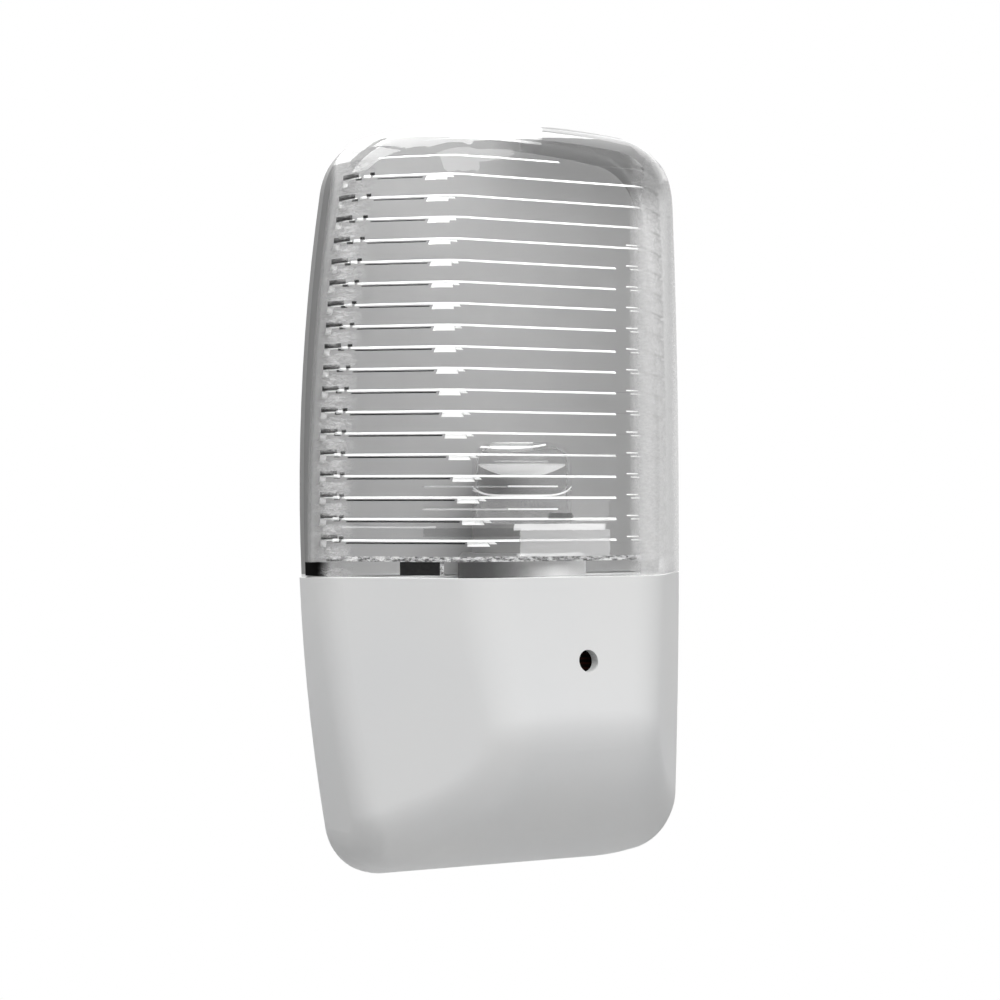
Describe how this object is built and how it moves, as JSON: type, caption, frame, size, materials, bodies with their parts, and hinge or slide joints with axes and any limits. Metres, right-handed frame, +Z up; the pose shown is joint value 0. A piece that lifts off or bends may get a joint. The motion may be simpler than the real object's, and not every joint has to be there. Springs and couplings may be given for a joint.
{
  "type": "plug-in night light",
  "caption": "Plug-in night light: white housing with a light-sensor hole under a clear, inside-ribbed lens over a domed lamp, with two flat plug blades at the back.",
  "frame": {"origin": "on the flat back face, midway between the two plug blades", "axes": "+Z up along the body, +Y out of the back along the blades into the wall socket, +X to the right when the light is seen from the front"},
  "size_m": [0.0568, 0.042, 0.0991],
  "materials": {
    "clear_plastic": "clear moulded plastic, glossy, ribbed inside",
    "white_shell": "white moulded plastic, soft satin gloss",
    "inner_grey": "matt grey reflector sheet",
    "holder_grey": "grey moulded plastic",
    "dome_clear": "clear moulded cap",
    "frosted_plastic": "frosted translucent plastic",
    "board_white": "white solder mask",
    "led_epoxy": "clear epoxy lamp bodies",
    "tinned_wire": "tinned steel wire",
    "red_insulation": "red insulation",
    "black_insulation": "black insulation",
    "blade_brass": "stamped brass strip",
    "carrier_black": "black heat-proof moulding",
    "fish_paper": "grey-green insulating sheet",
    "board_green": "green solder mask",
    "epoxy_red": "dark red epoxy dip",
    "sleeve_black": "black shrink sleeve",
    "diode_black": "black moulded body",
    "ceramic_green": "flameproof coating",
    "resistor_tan": "tan lacquer",
    "photocell_dark": "dark clear resin over the cell",
    "sleeve_matt_black": "matt black rubber sleeve",
    "solder": "bright solder",
    "screw_steel": "zinc plated steel"
  },
  "bodies": {
    "base": {"housing": "white_shell", "back_cover": "white_shell", "reflector_panel": "inner_grey", "lamp_deck": "inner_grey", "led_holder": "holder_grey", "lamp_dome": "dome_clear", "lamp_optic": "frosted_plastic", "led_board": "board_white", "led_emitters": "led_epoxy", "led_leads": "tinned_wire", "wire_positive": "red_insulation", "wire_negative": "black_insulation", "blade_narrow": "blade_brass", "blade_wide": "blade_brass", "blade_carrier": "carrier_black", "insulating_sheet": "fish_paper", "circuit_board": "board_green", "film_capacitor": "epoxy_red", "smoothing_capacitor": "sleeve_black", "rectifier_diodes": "diode_black", "fusible_resistor": "ceramic_green", "resistors": "resistor_tan", "transistor": "diode_black", "photocell": "photocell_dark", "photocell_shield": "sleeve_matt_black", "photocell_leads": "tinned_wire", "component_leads": "tinned_wire", "solder_joints": "solder", "housing_screws": "screw_steel", "board_screws": "screw_steel"},
    "lens": {"lens": "clear_plastic"}
  },
  "joints": [
    {"name": "lens_lift", "type": "slide", "parent": "base", "child": "lens", "axis": [0, 0, 1], "range_m": [0, 0.012]}
  ]
}
